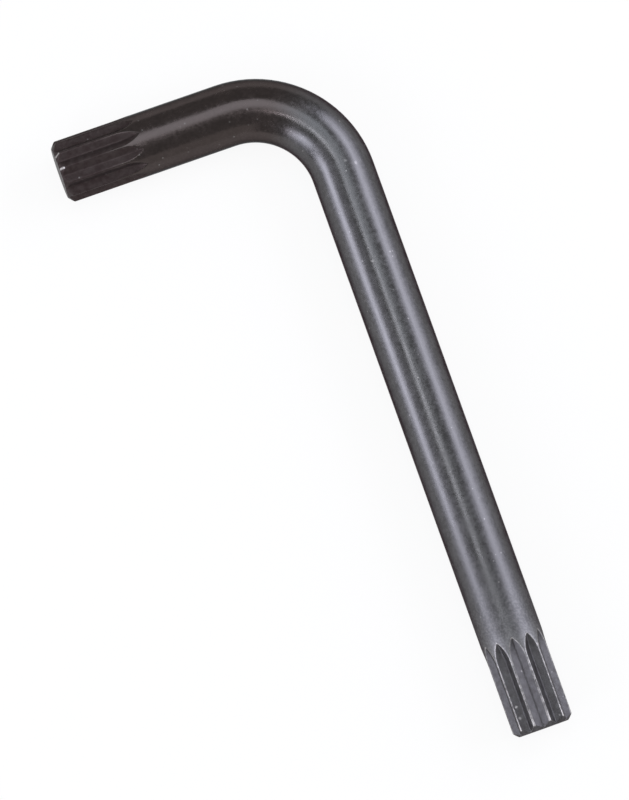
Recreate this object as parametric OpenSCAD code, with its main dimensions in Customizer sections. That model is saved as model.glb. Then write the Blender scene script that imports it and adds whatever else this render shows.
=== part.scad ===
// Triple square key: a round steel bar, bent once, with a twelve-point profile on both ends.
// The key lies flat. The long arm runs along -Y from the bend, and the short arm along -X.
// The origin is under the middle of the key, at the height of the surface that it lies on.

/* [Bar] */
// Diameter of the round bar, which is also the size across the points
bar_d = 10; // [8:0.5:13]
// Long arm, from the outside of the bend to its end
long_len = 112; // [60:1:200]
// Short arm, from the outside of the bend to its end
short_len = 47; // [36:1:90]
// Radius of the bend, at the middle of the bar
bend_r = 14.5; // [8:0.5:24]

/* [Triple square profile] */
// Width of the land that is left of the bar's surface on each point
land_w = 0.25; // [0.1:0.05:0.6]
// Turn of the long arm's points about its axis, from one point straight up
long_turn = 20; // [0:1:30]
// Turn of the short arm's points about its axis, from one point straight up
short_turn = 0; // [0:1:30]

/* [Grooves] */
// Length of the long arm's grooves, from their pointed starts in the bar to the end of the key
long_groove_len = 15; // [8:0.5:24]
// Length of the short arm's grooves, from their pointed starts in the bar to the end of the key
short_groove_len = 13.5; // [8:0.5:24]
// Length over which a groove runs out to the round bar
runout_len = 3.5; // [2.5:0.1:7]

/* [Ends] */
// Length of the chamfer on each end, along the bar
chamfer_len = 0.8; // [0.2:0.1:2]
// Depth of the chamfer, from the points inwards
chamfer_depth = 0.95; // [0.2:0.05:2]

/* [Hidden] */
$fn = 144;

bar_r = bar_d / 2;

// Three squares, each turned by a third of a right angle, give twelve points with square corners.
squares = 3;
points = 4 * squares;
half_pitch = 180 / points;
half_corner = 45;

// The squares' corners lie just outside the bar, so that each point ends in a land.
corner_r = land_w / 2 + sqrt(pow(bar_r, 2) - pow(land_w / 2, 2));
// A side of one square crosses a side of the next at the bottom of a groove.
root_r = corner_r * sin(half_corner) / sin(180 - half_pitch - half_corner);
// Angle between a groove's wall and the line from the axis through the groove
half_groove = half_corner + half_pitch;

// The groove runs out on the arc of a wheel with a V-shaped rim, whose lowest point is at the groove's depth.
groove_depth = bar_r - root_r;
wheel_r = (pow(runout_len, 2) + pow(groove_depth, 2)) / (2 * groove_depth);
// How far a cut reaches past the metal that it takes away
overcut = 1;
// The wheel's turn from the groove's full depth until it is clear of the bar
runout_angle = acos(1 - (groove_depth + overcut) / wheel_r);

// Turn of the round bar about its axis, which keeps the seam of its face off the middle of every groove
seam_turn = atan2(4, 3);

// The arms' axes, the centre of the bend between them, and the arms' straight lengths
long_x = short_len / 2 - bar_r;
short_y = long_len / 2 - bar_r;
bend_x = long_x - bend_r;
bend_y = short_y - bend_r;
long_straight = bend_y + long_len / 2;
short_straight = bend_x + short_len / 2;

// Section of a groove's cut, from its bottom at the origin up past the bar's surface
module groove_section() {
    cut_h = groove_depth + overcut;
    cut_w = cut_h * tan(half_groove);
    polygon([[0, 0], [cut_w, cut_h], [-cut_w, cut_h]]);
}

// One groove's cut: straight from Z = 0 upwards over length, and running out below Z = 0 on the wheel's arc
module groove_cut(length) {
    linear_extrude(length)
        groove_section();
    translate([0, wheel_r, 0])
        rotate([-90, 0, -90])
            rotate_extrude(angle = runout_angle)
                translate([wheel_r, 0])
                    rotate(90)
                        groove_section();
}

// Round bar along Z, with its end at Z = 0 and the first count of its grooves cut, one after the other
module grooved_bar(length, turn, groove_len, count) {
    full_len = groove_len - runout_len;
    if (count == 0)
        translate([0, 0, -length])
            rotate([0, 0, seam_turn])
                cylinder(h = length, r = bar_r);
    else
        difference() {
            grooved_bar(length, turn, groove_len, count - 1);
            rotate([0, 0, turn + (2 * count - 1) * half_pitch])
                translate([0, root_r, -full_len])
                    groove_cut(full_len + overcut);
        }
}

// Ring outside the cone that leads from the end face up to the points
module chamfer_ring() {
    end_r = bar_r - chamfer_depth;
    outer_r = bar_r + overcut;
    ring_h = (outer_r - end_r) * chamfer_len / chamfer_depth;
    rotate_extrude()
        polygon([[end_r, 0], [outer_r, -ring_h], [outer_r, overcut], [end_r, overcut]]);
}

// A straight arm along Z, with its end face at Z = 0 and one point towards +Y when turn is 0
module arm(length, turn, groove_len) {
    difference() {
        grooved_bar(length, turn, groove_len, points);
        chamfer_ring();
    }
}

// The quarter turn between the arms
module bend() {
    translate([bend_x, bend_y, 0])
        rotate_extrude(angle = 90)
            translate([bend_r, 0])
                circle(r = bar_r);
}

// The whole key, one piece of steel
module key() {
    color("#3f3d3f")
        translate([0, 0, bar_r]) {
            bend();
            translate([long_x, -long_len / 2, 0])
                rotate([90, 0, 0])
                    arm(long_straight, long_turn, long_groove_len);
            translate([-short_len / 2, short_y, 0])
                rotate([90, 0, -90])
                    arm(short_straight, short_turn, short_groove_len);
        }
}

key();
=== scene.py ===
"""Looks of the triple square key: one blackened steel bar, bent once, with twelve points on both ends."""

import math
from typing import NamedTuple

import bpy
import numpy as np
from mathutils import Matrix, Vector


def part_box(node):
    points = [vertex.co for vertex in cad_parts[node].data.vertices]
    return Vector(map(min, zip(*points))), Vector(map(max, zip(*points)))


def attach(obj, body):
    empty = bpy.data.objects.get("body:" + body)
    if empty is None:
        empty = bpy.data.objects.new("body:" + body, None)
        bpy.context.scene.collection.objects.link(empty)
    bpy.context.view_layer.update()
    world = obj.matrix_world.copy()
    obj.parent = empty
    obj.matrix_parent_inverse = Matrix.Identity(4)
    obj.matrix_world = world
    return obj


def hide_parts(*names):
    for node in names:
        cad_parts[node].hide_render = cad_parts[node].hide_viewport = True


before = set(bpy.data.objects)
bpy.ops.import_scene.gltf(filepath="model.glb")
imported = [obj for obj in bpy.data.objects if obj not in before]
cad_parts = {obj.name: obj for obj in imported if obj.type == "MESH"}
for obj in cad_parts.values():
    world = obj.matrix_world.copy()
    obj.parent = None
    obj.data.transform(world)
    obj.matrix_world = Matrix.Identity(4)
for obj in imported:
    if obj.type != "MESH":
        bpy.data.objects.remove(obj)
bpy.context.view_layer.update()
key_low, key_high = (np.array(corner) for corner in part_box("key"))

MM = 0.001


class Tip(NamedTuple):
    """One end of the key: the turn of its points from one point straight up, the length of its grooves, how
    worn and bright its edges are, which paints highlights on the long tip and shade on the short one beside
    real wear, how dull its lands are, and which of its points are chipped, counted from the top."""

    turn: float
    groove_len: float
    wear_and_glint: float
    land_dull: float
    chips: tuple


# Sizes of the key, as in its CAD model, and both tips, whose turns and grooves are the CAD model's too
BAR_R = (key_high[2] - key_low[2]) / 2
BEND_R = 14.5 * MM
POINTS = 12
LAND_W = 0.25 * MM
RUNOUT_LEN = 3.5 * MM
CHAMFER_LEN = 0.8 * MM
CHAMFER_DEPTH = 0.95 * MM
# Edge wear is real wear, with painted highlights in the long tip's strong wear and painted shade in the short
# tip's faint wear
LONG_TIP = Tip(turn=math.radians(10), groove_len=15.0 * MM, wear_and_glint=1.25, land_dull=0.8, chips=())
SHORT_TIP = Tip(turn=0.0, groove_len=13.5 * MM, wear_and_glint=0.08, land_dull=1.15, chips=(0, 1))

# Rounding of the edges and of the grooves' bottoms, which only the looks have
EDGE_ROUND = 0.11 * MM
ROOT_ROUND = 0.12 * MM

# Wear, partly painted highlight: how far it reaches from an edge and over a land, its level on the grooves'
# rims, what it gains there towards the end face and towards the pointed starts of the grooves, and its level
# on the chamfer's edge. The gain towards the end face and the chamfer's edge paint highlights on the crest
# ends
WEAR_REACH = 0.10 * MM
LAND_REACH = 0.30 * MM
RIM_WEAR = 0.8
END_WEAR_AND_GLINT_GAIN = 0.6
END_WEAR_LEN = 1.8 * MM
START_WEAR_GAIN = 0.3
CHAMFER_WEAR_AND_GLINT = 0.8
# Half the width of a chip, and its wear
CHIP_HALF = math.radians(4)
CHIP_WEAR = 1.5
# Depth at which a groove's duller skin is complete
DULL_DEPTH = 0.12 * MM

# Shape of a groove: three squares give twelve points with square corners
HALF_PITCH = math.pi / POINTS
PITCH = 2 * HALF_PITCH
HALF_CORNER = math.pi / 4
CORNER_R = LAND_W / 2 + math.sqrt(BAR_R ** 2 - (LAND_W / 2) ** 2)
ROOT_R = CORNER_R * math.sin(HALF_CORNER) / math.sin(math.pi - HALF_PITCH - HALF_CORNER)
WALL_SLOPE = 1 / math.tan(HALF_CORNER + HALF_PITCH)
# The groove runs out on the arc of a wheel. A wall's radius there is found in rounds
GROOVE_DEPTH = BAR_R - ROOT_R
WHEEL_R = (RUNOUT_LEN ** 2 + GROOVE_DEPTH ** 2) / (2 * GROOVE_DEPTH)
WALL_ROUNDS = 8

# The bar's course: from the short arm's end, round the bend, to the long arm's end
LONG_X = key_high[0] - BAR_R
SHORT_Y = key_high[1] - BAR_R
BEND_CENTRE = np.array([LONG_X - BEND_R, SHORT_Y - BEND_R, key_low[2] + BAR_R])
SHORT_STRAIGHT = BEND_CENTRE[0] - key_low[0]
LONG_STRAIGHT = BEND_CENTRE[1] - key_low[1]
BEND_LEN = BEND_R * math.pi / 2
BAR_LEN = SHORT_STRAIGHT + BEND_LEN + LONG_STRAIGHT

# Rings of vertices on a tip: their counts on its chamfer, its grooves and the grooves' run-out. The first end
# and the second start at distances from the end face. The second stop short of the run-out, and the third
# begin before it and go on past it
CHAMFER_RINGS = 15
GROOVE_RINGS = 14
RUNOUT_RINGS = 42
CHAMFER_RINGS_END = 1.1 * MM
GROOVE_RINGS_START = 1.7 * MM
GROOVE_RINGS_SHORT_OF = 0.5 * MM
RUNOUT_RINGS_BEFORE = 0.1 * MM
RUNOUT_RINGS_PAST = 0.3 * MM
# Counts of rings on the round part of the bar, and their gap from the tips' grooves
SHORT_RINGS = 9
BEND_RINGS = 25
LONG_RINGS = 40
RING_GAP = 1.0 * MM
# Sizes of an end face's inner rings, as shares of its own
END_SHARES = (0.97, 0.8, 0.55, 0.28)
# Angles of the columns of vertices from the middle of a point or of a groove, up to half way between them
COLUMN_STEPS = np.radians([0.7, 1.43, 2.2, 3.2, 4.5, 6])
# Where the columns have taken the long tip's turn, from its end, in lengths of its grooves
TURNED_BY = 1.2


def smooth_min(first, second, reach):
    """The lesser of two radii, with a rounded change from one to the other."""
    near = np.maximum(reach - np.abs(first - second), 0)
    return np.minimum(first, second) - near ** 2 / (4 * reach)


def closeness(first, second, reach):
    """1 where two radii are the same, falling to 0 where they are reach apart."""
    return np.clip(1 - np.abs(first - second) / reach, 0, 1)


def wall_radius(depth, angle, tip):
    """Radius of the groove walls at depths from a tip's end face, for angles about the bar's axis."""
    offset = np.mod(angle - tip.turn, PITCH) - HALF_PITCH
    runout = np.maximum(depth - (tip.groove_len - RUNOUT_LEN), 0)
    radius = np.full(offset.shape, BAR_R)
    for _ in range(WALL_ROUNDS):
        rim = WHEEL_R - np.hypot(radius * np.sin(offset), ROOT_ROUND) * WALL_SLOPE
        reach = rim ** 2 - runout ** 2
        height = ROOT_R + WHEEL_R - np.sqrt(np.maximum(reach, 0))
        radius = np.where(reach > 0, height / np.cos(offset), 2 * BAR_R)
    return radius


def tip_surface(depth, angle, tip):
    """Radius, wear with painted highlights, and dullness of a tip at depths from its end face, for angles
    about the bar's axis.
    """
    full_len = tip.groove_len - RUNOUT_LEN
    wall = wall_radius(depth, angle, tip)
    grooved = smooth_min(np.full(wall.shape, BAR_R), wall, EDGE_ROUND)
    cone = BAR_R - CHAMFER_DEPTH + depth * CHAMFER_DEPTH / CHAMFER_LEN
    radius = smooth_min(grooved, cone, EDGE_ROUND)

    near_end = np.clip(1 - (depth - CHAMFER_LEN) / END_WEAR_LEN, 0, 1)
    near_start = np.clip((depth - full_len) / RUNOUT_LEN, 0, 1)
    rim_level = RIM_WEAR + END_WEAR_AND_GLINT_GAIN * near_end + START_WEAR_GAIN * near_start
    land_reach = WEAR_REACH + (LAND_REACH - WEAR_REACH) * (1 - near_start)
    reach = np.where(wall > BAR_R, land_reach, WEAR_REACH)
    rim_wear_and_glint = closeness(wall, BAR_R, reach) * (cone > BAR_R - WEAR_REACH) * rim_level
    end_wear_and_glint = CHAMFER_WEAR_AND_GLINT * closeness(grooved, cone, WEAR_REACH)
    edge_wear_and_glint = tip.wear_and_glint * np.maximum(rim_wear_and_glint, end_wear_and_glint)

    # Chips lie on the chamfer, in the middle of a point
    from_point = np.mod(angle - tip.turn + HALF_PITCH, 2 * math.pi)
    chip = closeness(np.mod(from_point, PITCH), HALF_PITCH, CHIP_HALF) * (cone < BAR_R) * (depth > 0)
    chip = chip * np.isin(from_point // PITCH, tip.chips)

    groove_dull = np.clip((BAR_R - grooved) / DULL_DEPTH, 0, 1)
    land_dull = tip.land_dull * np.clip((full_len - depth) / RUNOUT_LEN, 0, 1)
    return radius, np.maximum(edge_wear_and_glint, CHIP_WEAR * chip), np.maximum(groove_dull, land_dull)


def centreline(along):
    """Middle of the bar, and the direction to the outside of the bend, at distances from the short end."""
    turn = np.clip((along - SHORT_STRAIGHT) / BEND_R, 0, math.pi / 2)
    level = np.zeros(len(along))
    out = np.stack([np.sin(turn), np.cos(turn), level], 1)
    forward = np.stack([np.cos(turn), -np.sin(turn), level], 1)
    before = np.minimum(along - SHORT_STRAIGHT, 0)
    after = np.maximum(along - SHORT_STRAIGHT - BEND_LEN, 0)
    return BEND_CENTRE + BEND_R * out + (before + after)[:, None] * forward, out


def tip_places(tip):
    """Distances from its end face of the rings of vertices on a tip."""
    full_len = tip.groove_len - RUNOUT_LEN
    chamfer = np.linspace(0, CHAMFER_RINGS_END, CHAMFER_RINGS)
    grooves = np.linspace(GROOVE_RINGS_START, full_len - GROOVE_RINGS_SHORT_OF, GROOVE_RINGS)
    runout = np.linspace(full_len - RUNOUT_RINGS_BEFORE, tip.groove_len + RUNOUT_RINGS_PAST, RUNOUT_RINGS)
    return np.concatenate([chamfer, grooves, runout])


def ring_places():
    """Distances from the short end of the rings of vertices, which are close where the shape changes."""
    bend_end = SHORT_STRAIGHT + BEND_LEN
    short = np.linspace(SHORT_TIP.groove_len + RING_GAP, SHORT_STRAIGHT, SHORT_RINGS)
    bend = np.linspace(SHORT_STRAIGHT, bend_end, BEND_RINGS)[1:]
    long = np.linspace(bend_end, BAR_LEN - LONG_TIP.groove_len - RING_GAP, LONG_RINGS)[1:]
    long_tip = BAR_LEN - tip_places(LONG_TIP)[::-1]
    return np.concatenate([tip_places(SHORT_TIP), short, bend, long, long_tip])


def column_angles(along):
    """Angles about the axis, from straight up, at distances from the short end. They lie close beside every
    point and every groove's bottom, and the round part of the bar turns them from one tip's to the other's.
    """
    steps = np.concatenate([[0], COLUMN_STEPS, [HALF_PITCH / 2], HALF_PITCH - COLUMN_STEPS[::-1]])
    angle = np.concatenate([cell * HALF_PITCH + steps for cell in range(2 * POINTS)])
    turn_len = BEND_LEN + LONG_STRAIGHT - TURNED_BY * LONG_TIP.groove_len
    share = np.clip((along - SHORT_STRAIGHT) / turn_len, 0, 1)
    turn = SHORT_TIP.turn + (LONG_TIP.turn - SHORT_TIP.turn) * share
    return angle[None, :] + turn[:, None]


def key_mesh():
    """The whole bar as one closed mesh, with its wear and painted highlights, dullness and straightened-out
    places as attributes.
    """
    along = ring_places()
    angle = column_angles(along)
    short_r, short_wear_and_glint, short_dull = tip_surface(along[:, None], angle, SHORT_TIP)
    long_r, long_wear_and_glint, long_dull = tip_surface(BAR_LEN - along[:, None], angle, LONG_TIP)
    radius = np.minimum(short_r, long_r)
    wear_and_glint = np.maximum(short_wear_and_glint, long_wear_and_glint)
    dull = np.maximum(short_dull, long_dull)

    # Each end face is flat, unworn and dull, with rings that close in to a middle point
    shares = np.array(END_SHARES)[:, None]
    both_ends = ((len(shares), len(shares)), (0, 0))
    radius = np.concatenate([shares[::-1] * radius[0], radius, shares * radius[-1]])
    along = np.pad(along, len(shares), mode="edge")
    angle = np.pad(angle, both_ends, mode="edge")
    wear_and_glint = np.append(np.pad(wear_and_glint, both_ends), [0, 0])
    dull = np.append(np.pad(dull, both_ends, constant_values=1), [1, 1])

    centre, out = centreline(along)
    up = np.array([0.0, 0.0, 1.0])
    spoke = np.cos(angle)[:, :, None] * up + np.sin(angle)[:, :, None] * out[:, None, :]
    points = centre[:, None, :] + radius[:, :, None] * spoke
    points = np.concatenate([points.reshape(-1, 3), centre[[0, -1]]])
    lengths = np.broadcast_to(along[:, None], radius.shape)
    straight = np.stack([lengths, radius * np.cos(angle), radius * np.sin(angle)], -1)
    straight = np.concatenate([straight.reshape(-1, 3), [[0, 0, 0], [BAR_LEN, 0, 0]]])

    here = np.arange(radius.size).reshape(radius.shape)
    beside = np.roll(here, -1, axis=1)
    quads = np.stack([here[:-1], here[1:], beside[1:], beside[:-1]], -1).reshape(-1, 4)
    short_middle = np.full(here.shape[1], radius.size)
    short_fan = np.stack([here[0], beside[0], short_middle], 1)
    long_fan = np.stack([beside[-1], here[-1], short_middle + 1], 1)

    mesh = bpy.data.meshes.new("key_steel")
    mesh.from_pydata(points.tolist(), [], quads.tolist() + short_fan.tolist() + long_fan.tolist())
    mesh.attributes.new("wear_and_glint", "FLOAT", "POINT").data.foreach_set("value", wear_and_glint)
    mesh.attributes.new("dull", "FLOAT", "POINT").data.foreach_set("value", dull)
    mesh.attributes.new("straight", "FLOAT_VECTOR", "POINT").data.foreach_set("vector", straight.reshape(-1))
    mesh.shade_smooth()
    mesh.update()
    return mesh


# Roughness of every noise, and the levels between which most of a noise lies
NOISE_ROUGHNESS = 0.6
NOISE_SPAN = (0.3, 0.7)


def new_material(name):
    """A material with only an output node, its node tree and that node."""
    material = bpy.data.materials.new(name)
    material.use_nodes = True
    tree = material.node_tree
    tree.nodes.clear()
    return material, tree, tree.nodes.new("ShaderNodeOutputMaterial")


def add(tree, kind, inputs=None, **settings):
    """A new node with its settings, and its inputs, by name or number, set to values or linked to sockets."""
    node = tree.nodes.new(kind)
    for name, value in settings.items():
        setattr(node, name, value)
    for name, value in (inputs or {}).items():
        if isinstance(value, bpy.types.NodeSocket):
            tree.links.new(value, node.inputs[name])
        else:
            node.inputs[name].default_value = value
    return node


def math_node(tree, operation, first, second=0.0, third=0.0):
    """The result of one sum on values or sockets."""
    return add(tree, "ShaderNodeMath", {0: first, 1: second, 2: third}, operation=operation).outputs[0]


def noise(tree, vector, scale, detail):
    """Fractal noise, from 0 to 1, on a vector in metres."""
    inputs = {"Vector": vector, "Scale": scale, "Detail": detail, "Roughness": NOISE_ROUGHNESS}
    return add(tree, "ShaderNodeTexNoise", inputs).outputs["Fac"]


def ramp(tree, value, low, high, from_out=0.0, to_out=1.0):
    """value, mapped smoothly from low..high to from_out..to_out."""
    inputs = {0: value, 1: low, 2: high, 3: from_out, 4: to_out}
    return add(tree, "ShaderNodeMapRange", inputs, interpolation_type="SMOOTHSTEP").outputs[0]


def mix_colour(tree, factor, first, second):
    """A colour between two colours or sockets."""
    return add(tree, "ShaderNodeMix", {0: factor, 6: first, 7: second}, data_type="RGBA").outputs[2]


# Colours of the steel, on the short and the long arm or on both, and its tints at grazing angles. The short
# arm's colours are darker and browner than the long arm's: painted shade and a painted red reflection
SHORT_SHADED_DARK = (0.0624, 0.0512, 0.0494, 1)
SHORT_SHADED_LIGHT = (0.0776, 0.0635, 0.0612, 1)
LONG_DARK = (0.0865, 0.0853, 0.0882, 1)
LONG_LIGHT = (0.1135, 0.1118, 0.1153, 1)
# Painted shade in the grooves, reddish as a painted reflection
SHORT_GROOVE_SHADE = (0.0235, 0.0135, 0.0135, 1)
LONG_GROOVE_SHADE = (0.0212, 0.0153, 0.0153, 1)
BARE_STEEL = (0.5882, 0.5647, 0.5529, 1)
SPECK = (0.3529, 0.3412, 0.3412, 1)
SCUFFED = (0.2824, 0.2824, 0.2882, 1)
# The tints paint the edges dark at grazing angles as painted shade, and on the long arm add a painted red
# reflection
SHORT_EDGE_SHADE = (0.40, 0.415, 0.42, 1)
LONG_EDGE_SHADE_RED = (0.31, 0.28, 0.285, 1)
SPECULAR_LEVEL = 0.2

# Where one arm's colours go over into the other's, as distances from the short end
TONE_START = SHORT_STRAIGHT + 0.28 * BEND_LEN
TONE_END = SHORT_STRAIGHT + 0.65 * BEND_LEN

# Noises: scale, in turns a metre, and detail. Streaks are stretched along the bar
MOTTLE = (420, 5)
GRAIN = (2000, 3)
STREAKS = (3000, 3)
RUBBING = (1800, 4)
SPECKLES = (3000, 2)
GROOVE_SHADE_NOISE = (1100, 4)
STREAK_STRETCH = 10
# Patches of the oxide: the share of grain in them, beside mottle, and the levels from dark to light
GRAIN_SHARE = 0.55
PATCH_SPAN = (0.36, 0.64)

# Specks: cells a metre, a speck's radius and that of its palest part, in cells, and the lot, from 0 to 1,
# above which a cell has one
SPECK_CELLS = 1200
SPECK_R = 0.22
SPECK_CORE = 0.08
SPECK_LOT = 0.85
# Nicks on the long arm: distance from its end, angle from straight up towards the outside of the bend,
# distance from the bar's axis, and paleness; then a nick's radius, that of its palest part, and how uneven
# its edge is
NICKS = (
    (2.7 * MM, math.radians(-44.5), 4.63 * MM, 1.4),
    (4.5 * MM, math.radians(-44), 4.62 * MM, 1.6),
    (12.6 * MM, math.radians(40), 4.97 * MM, 1.6),
    (77.3 * MM, math.radians(-10), BAR_R, 0.8),
    (92.7 * MM, math.radians(22), BAR_R, 0.5),
    (93.5 * MM, math.radians(5.5), BAR_R, 0.9),
)
NICK_R = 0.32 * MM
NICK_CORE = 0.3 * NICK_R
NICK_UNEVEN = 0.5 * MM
# How much of the pale colour specks and nicks get
SPECK_COVER = 0.5

# Worn edges, partly painted highlights: what rubbing takes from the wear or adds, over its levels, the wear
# from none to all of the bare steel, and how much of that shows
RUB_SPAN = (0.35, 0.65)
RUB_CHANGE = (-0.28, 0.16)
WORN_SPAN = (0.25, 1.5)
WORN_COVER = 0.75

# The rubbed stretch behind the long tip's arches, as distances from the short end: where it begins and is
# complete, and where it begins to be paler and is palest; then its paleness, and the noise levels and
# paleness of its speckles
SCUFF_START = BAR_LEN - 28 * MM
SCUFF_FULL = BAR_LEN - 15 * MM
SCUFF_PALER = BAR_LEN - 17 * MM
SCUFF_PALEST = BAR_LEN - 13 * MM
SCUFF_PALENESS = (0.04, 0.34)
SPECKLE_SPAN = (0.42, 0.62)
SPECKLE_PALENESS = 0.22

# Painted shade in the grooves, with a painted red reflection: its cover where its noise is low and high, and
# what the short arm has more
GROOVE_SHADE_COVER = (0.38, 0.06)
SHORT_GROOVE_SHADE_GAIN = 0.27
# How much less metallic the grooves' duller skin is
SHORT_SKIN = 0.44
LONG_SKIN = 0.22

# Roughness: of the mottled steel, what grain takes or adds, what the grooves add, what the long arm's last
# part adds by its tip, what the rubbed stretch adds, and what the short arm takes
MOTTLE_ROUGH = (0.22, 0.30)
GRAIN_ROUGH = 0.04
SHORT_GROOVE_ROUGH = 0.16
LONG_GROOVE_ROUGH = 0.10
LAST_PART_START = BAR_LEN - 65 * MM
LAST_PART_FULL = BAR_LEN - 12 * MM
LAST_PART_ROUGH = 0.07
SCUFF_ROUGH = 0.10
SHORT_SMOOTHER = 0.04

# Fine relief of grain and streaks
GRAIN_HEIGHT = 0.7
STREAK_HEIGHT = 0.5
RELIEF_DEPTH = 0.03 * MM
RELIEF_STRENGTH = 0.45


def pale_marks(tree, place, rubbed):
    """Paleness of the specks, small dots in a few of many cells, and of the nicks."""
    cells = add(tree, "ShaderNodeTexVoronoi", {"Vector": place, "Scale": SPECK_CELLS}).outputs
    lot = add(tree, "ShaderNodeSeparateColor", {0: cells["Color"]}).outputs[0]
    dots = ramp(tree, cells["Distance"], SPECK_R, SPECK_CORE)
    marks = math_node(tree, "MULTIPLY", dots, ramp(tree, lot, SPECK_LOT, 1.0))
    uneven = math_node(tree, "SUBTRACT", rubbed, 0.5)
    for depth, angle, radius, paleness in NICKS:
        spot = (BAR_LEN - depth, radius * math.cos(angle), radius * math.sin(angle))
        off = add(tree, "ShaderNodeVectorMath", {0: place, 1: spot}, operation="DISTANCE").outputs["Value"]
        off = math_node(tree, "MULTIPLY_ADD", uneven, NICK_UNEVEN, off)
        marks = math_node(tree, "MAXIMUM", marks, ramp(tree, off, NICK_R, NICK_CORE, 0.0, paleness))
    return marks


def steel_material():
    """Satin black oxide: mottled, finely grained along the bar, duller in the grooves, rubbed behind the long
    tip, with pale specks and nicks and worn edges. Painted on it are shade and a red reflection on the short
    arm and in the grooves, dark edges at grazing angles, and highlights along the long tip's worn crests."""
    material, tree, output = new_material("black_steel")
    place = add(tree, "ShaderNodeAttribute", attribute_name="straight").outputs["Vector"]
    wear_and_glint = add(tree, "ShaderNodeAttribute", attribute_name="wear_and_glint").outputs["Fac"]
    dull = add(tree, "ShaderNodeAttribute", attribute_name="dull").outputs["Fac"]
    along = add(tree, "ShaderNodeSeparateXYZ", {0: place}).outputs[0]
    arm = ramp(tree, along, TONE_START, TONE_END)

    mottle = noise(tree, place, *MOTTLE)
    grain = noise(tree, place, *GRAIN)
    rubbed = noise(tree, place, *RUBBING)
    stretch = {0: place, 1: (1 / STREAK_STRETCH, 1, 1)}
    stretched = add(tree, "ShaderNodeVectorMath", stretch, operation="MULTIPLY").outputs[0]
    streaks = noise(tree, stretched, *STREAKS)

    # Colour of the oxide, in patches, with painted shade and a painted red reflection on the short arm
    patch = math_node(tree, "MULTIPLY", mottle, 1 - GRAIN_SHARE)
    patch = ramp(tree, math_node(tree, "MULTIPLY_ADD", grain, GRAIN_SHARE, patch), *PATCH_SPAN)
    dark = mix_colour(tree, arm, SHORT_SHADED_DARK, LONG_DARK)
    light = mix_colour(tree, arm, SHORT_SHADED_LIGHT, LONG_LIGHT)
    oxide = mix_colour(tree, patch, dark, light)

    # The rubbed stretch, paler in patches
    scuff = ramp(tree, along, SCUFF_START, SCUFF_FULL)
    scuff = math_node(tree, "MULTIPLY", scuff, math_node(tree, "SUBTRACT", 1.0, dull))
    speckles = ramp(tree, noise(tree, place, *SPECKLES), *SPECKLE_SPAN, 0.0, SPECKLE_PALENESS)
    pale = ramp(tree, along, SCUFF_PALER, SCUFF_PALEST, *SCUFF_PALENESS)
    pale = math_node(tree, "MULTIPLY", scuff, math_node(tree, "ADD", pale, speckles))
    oxide = mix_colour(tree, pale, oxide, SCUFFED)

    # Painted shade and a painted red reflection in the grooves and on dull lands, in patches
    groove_shade = ramp(tree, noise(tree, place, *GROOVE_SHADE_NOISE), *NOISE_SPAN, *GROOVE_SHADE_COVER)
    groove_shade = math_node(tree, "ADD", groove_shade, ramp(tree, arm, 0, 1, SHORT_GROOVE_SHADE_GAIN, 0.0))
    groove_shade_colour = mix_colour(tree, arm, SHORT_GROOVE_SHADE, LONG_GROOVE_SHADE)
    oxide = mix_colour(tree, math_node(tree, "MULTIPLY", dull, groove_shade), oxide, groove_shade_colour)

    # Worn edges, partly painted highlights, broken up by rubbing, and pale marks
    worn_and_glint = math_node(tree, "ADD", wear_and_glint, ramp(tree, rubbed, *RUB_SPAN, *RUB_CHANGE))
    worn_and_glint = ramp(tree, worn_and_glint, *WORN_SPAN)
    marks = pale_marks(tree, place, rubbed)
    edged = mix_colour(tree, math_node(tree, "MULTIPLY", worn_and_glint, WORN_COVER), oxide, BARE_STEEL)
    colour = mix_colour(tree, math_node(tree, "MULTIPLY", marks, SPECK_COVER), edged, SPECK)

    rough = ramp(tree, mottle, *NOISE_SPAN, *MOTTLE_ROUGH)
    rough = math_node(tree, "ADD", rough, ramp(tree, grain, *NOISE_SPAN, -GRAIN_ROUGH, GRAIN_ROUGH))
    groove_rough = ramp(tree, arm, 0, 1, SHORT_GROOVE_ROUGH, LONG_GROOVE_ROUGH)
    rough = math_node(tree, "MULTIPLY_ADD", dull, groove_rough, rough)
    last_rough = ramp(tree, along, LAST_PART_START, LAST_PART_FULL, 0, LAST_PART_ROUGH)
    rough = math_node(tree, "ADD", rough, last_rough)
    rough = math_node(tree, "MULTIPLY_ADD", scuff, SCUFF_ROUGH, rough)
    rough = math_node(tree, "SUBTRACT", rough, SHORT_SMOOTHER)
    rough = math_node(tree, "MULTIPLY_ADD", arm, SHORT_SMOOTHER, rough)

    skin = math_node(tree, "SUBTRACT", dull, worn_and_glint)
    skin = math_node(tree, "MULTIPLY", skin, ramp(tree, arm, 0, 1, SHORT_SKIN, LONG_SKIN))
    relief = math_node(tree, "MULTIPLY", streaks, STREAK_HEIGHT)
    relief = math_node(tree, "ADD", math_node(tree, "MULTIPLY", grain, GRAIN_HEIGHT), relief)
    bump = {"Strength": RELIEF_STRENGTH, "Distance": RELIEF_DEPTH, "Height": relief}
    shader = add(tree, "ShaderNodeBsdfPrincipled", {
        "Base Color": colour,
        "Metallic": math_node(tree, "SUBTRACT", 1.0, skin),
        "Roughness": rough,
        "Specular IOR Level": SPECULAR_LEVEL,
        # The tint paints dark edges, reddish on the long arm: painted shade and a painted reflection
        "Specular Tint": mix_colour(tree, arm, SHORT_EDGE_SHADE, LONG_EDGE_SHADE_RED),
        "Normal": add(tree, "ShaderNodeBump", bump).outputs["Normal"],
    })
    tree.links.new(shader.outputs[0], output.inputs["Surface"])
    return material


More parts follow.
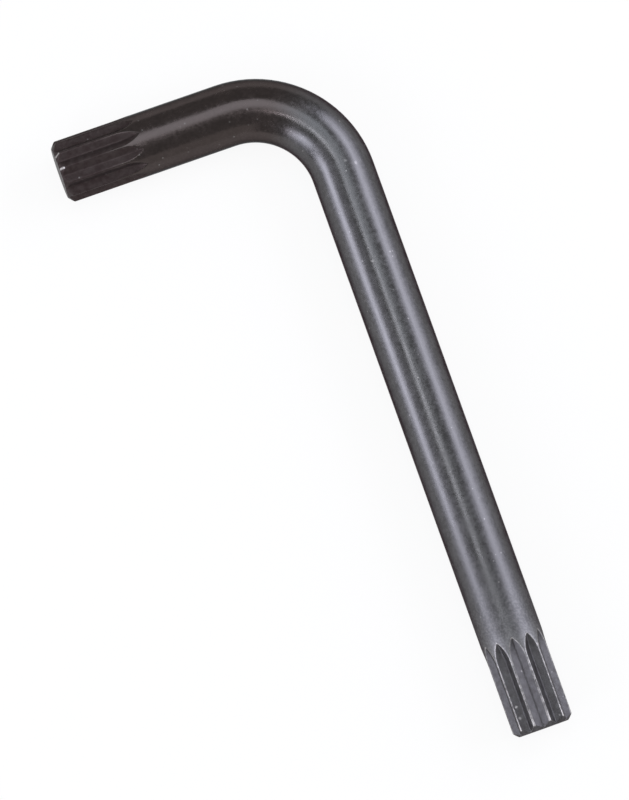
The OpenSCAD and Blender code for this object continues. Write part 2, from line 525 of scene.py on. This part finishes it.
# The floor: half of its side, its gap below the key, its colours, scale and detail of its flecks, and how
# white it is to the camera and in reflections
FLOOR_HALF = 4.0
FLOOR_GAP = 0.02 * MM
FLOOR_DARK = (0.84, 0.84, 0.84, 1)
FLOOR_LIGHT = (0.88, 0.88, 0.88, 1)
FLECKS = (60, 4)
FLOOR_WHITE = 0.9


def floor_material():
    """Plain pale floor: white to the camera and in reflections, with the key's shadow kept faintly."""
    material, tree, output = new_material("pale_floor")
    place = add(tree, "ShaderNodeTexCoord").outputs["Object"]
    colour = mix_colour(tree, noise(tree, place, *FLECKS), FLOOR_DARK, FLOOR_LIGHT)
    paper = add(tree, "ShaderNodeBsdfDiffuse", {"Color": colour}).outputs[0]
    glow = add(tree, "ShaderNodeEmission", {"Color": (1, 1, 1, 1), "Strength": 1.0}).outputs[0]
    rays = add(tree, "ShaderNodeLightPath").outputs
    seen = math_node(tree, "MAXIMUM", rays["Is Camera Ray"], rays["Is Glossy Ray"])
    seen = math_node(tree, "MAXIMUM", seen, rays["Is Transmission Ray"])
    white = math_node(tree, "MULTIPLY", seen, FLOOR_WHITE)
    mixed = add(tree, "ShaderNodeMixShader", {0: white, 1: paper, 2: glow}).outputs[0]
    tree.links.new(mixed, output.inputs["Surface"])
    return material


def add_floor():
    """A wide square under the key."""
    level = key_low[2] - FLOOR_GAP
    corners = [(x * FLOOR_HALF, y * FLOOR_HALF, level) for x, y in ((-1, -1), (1, -1), (1, 1), (-1, 1))]
    mesh = bpy.data.meshes.new("floor")
    mesh.from_pydata(corners, [], [(0, 1, 2, 3)])
    mesh.materials.append(floor_material())
    floor = bpy.data.objects.new("floor", mesh)
    bpy.context.collection.objects.link(floor)


def add_world(strength):
    """Even pale light from all round."""
    world = bpy.data.worlds.new("studio")
    world.use_nodes = True
    background = world.node_tree.nodes["Background"]
    background.inputs["Color"].default_value = (1.0, 1.0, 1.0, 1)
    background.inputs["Strength"].default_value = strength
    bpy.context.scene.world = world


def add_lamp(name, place, faces, size, glow, colour, bright=0.5, spread=0.5, sharp=1.0, tail=1.0):
    """A soft lamp. size is its height, or its width along X if it faces down, and then its other side. glow
    is its brightness along a line at the share bright of the first side. From there it dims over the share
    spread, on both sides, the sooner the greater sharp is, down to the share tail."""
    data = bpy.data.lights.new(name, "AREA")
    data.shape = "RECTANGLE"
    data.size, data.size_y = size
    data.energy = glow * math.pi * size[0] * size[1]
    data.color = colour
    data.use_nodes = True
    tree = data.node_tree
    inside = add(tree, "ShaderNodeNewGeometry").outputs["Parametric"]
    share = add(tree, "ShaderNodeSeparateXYZ", {0: inside}).outputs[0]
    off_line = math_node(tree, "ABSOLUTE", math_node(tree, "SUBTRACT", share, bright))
    fade = math_node(tree, "MAXIMUM", math_node(tree, "MULTIPLY_ADD", off_line, -1 / spread, 1.0), 0.0)
    fade = math_node(tree, "MAXIMUM", math_node(tree, "POWER", fade, sharp), tail)
    tree.links.new(fade, tree.nodes["Emission"].inputs["Strength"])
    lamp = bpy.data.objects.new(name, data)
    back = -Vector(faces)
    first = Vector((1, 0, 0)) if abs(back.z) > 0.5 else Vector((0, 0, 1))
    lamp.matrix_world = Matrix((first, back.cross(first), back)).transposed().to_4x4()
    lamp.location = place
    lamp.visible_camera = False
    bpy.context.collection.objects.link(lamp)


# The view: the photograph looks almost straight down, with the arms turned in the picture by the roll. It is
# tilted from straight down in the direction of the lean, and the target is in the middle of the picture
ROLL = math.radians(19.7)
TILT = math.radians(6.3)
LEAN = math.radians(-24.8)
VIEW_TARGET = Vector((2.13, 4.2, 5.0)) * MM
LENS = 250.0
SENSOR = 36.0
FRAME_PX = 800
PX_PER_MM = 6.408
CLIP_START = 0.01


def add_camera():
    """A long lens at the photograph's angle."""
    down = Vector((-math.sin(ROLL), -math.cos(ROLL), 0))
    across = Vector((math.cos(ROLL), -math.sin(ROLL), 0))
    lean = down * math.cos(LEAN) + across * math.sin(LEAN)
    back = Vector((0, 0, math.cos(TILT))) + lean * math.sin(TILT)
    right = back.cross(down).normalized()
    data = bpy.data.cameras.new("camera")
    data.lens = LENS
    data.sensor_width = SENSOR
    data.clip_start = CLIP_START
    camera = bpy.data.objects.new("camera", data)
    distance = FRAME_PX / PX_PER_MM * MM * LENS / SENSOR
    camera.matrix_world = Matrix((right, back.cross(right), back)).transposed().to_4x4()
    camera.location = VIEW_TARGET + back * distance
    bpy.context.collection.objects.link(camera)
    bpy.context.scene.camera = camera


key = bpy.data.objects.new("key_steel", key_mesh())
key.data.materials.append(steel_material())
bpy.context.collection.objects.link(key)
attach(key, "root")
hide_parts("key")

# The studio: an even world, panels on both sides, small lamps overhead and a faint one in front
WORLD_GLOW = 0.425
COOL = (0.89, 0.90, 1.03)
PALE = (0.95, 1.03, 1.12)
PLAIN = (0.98, 1.0, 1.06)
WARM = (1.0, 0.97, 0.95)
TO_LEFT = (-1, 0, 0)
TO_RIGHT = (1, 0, 0)
DOWN = (0, 0, -1)
TO_BACK = (0, 1, 0)
add_floor()
add_world(WORLD_GLOW)
add_lamp("left_panel", (-0.38, 0.0575, 0.375), TO_RIGHT, (0.75, 0.185), 6.8, COOL,
         bright=0.26, spread=0.29, sharp=1.6, tail=0.07)
add_lamp("left_far", (-0.38, -0.2125, 0.375), TO_RIGHT, (0.75, 0.235), 5.95, COOL,
         bright=0.42, spread=0.42, sharp=1.5, tail=0.07)
add_lamp("right_panel", (0.42, 0.08, 0.425), TO_LEFT, (0.85, 0.52), 4.84, COOL,
         bright=0.39, spread=0.45, sharp=1.4, tail=0.07)
add_lamp("overhead", (-0.03, 0.25, 0.60), DOWN, (0.20, 0.35), 1.78, PALE)
add_lamp("overhead_right", (0.14, 0.275, 0.60), DOWN, (0.14, 0.31), 2.04, PALE)
add_lamp("overhead_low", (-0.10, 0.035, 0.60), DOWN, (0.12, 0.08), 4.93, PLAIN)
add_lamp("overhead_tip", (-0.065, -0.0225, 0.60), DOWN, (0.06, 0.035), 11, PLAIN)
add_lamp("overhead_mid", (0.03, 0.09, 0.60), DOWN, (0.10, 0.08), 1.36, PLAIN)
add_lamp("front", (0.03, -0.40, 0.15), TO_BACK, (0.30, 0.30), 0.383, WARM)

add_camera()
bpy.context.scene.view_settings.view_transform = "Standard"
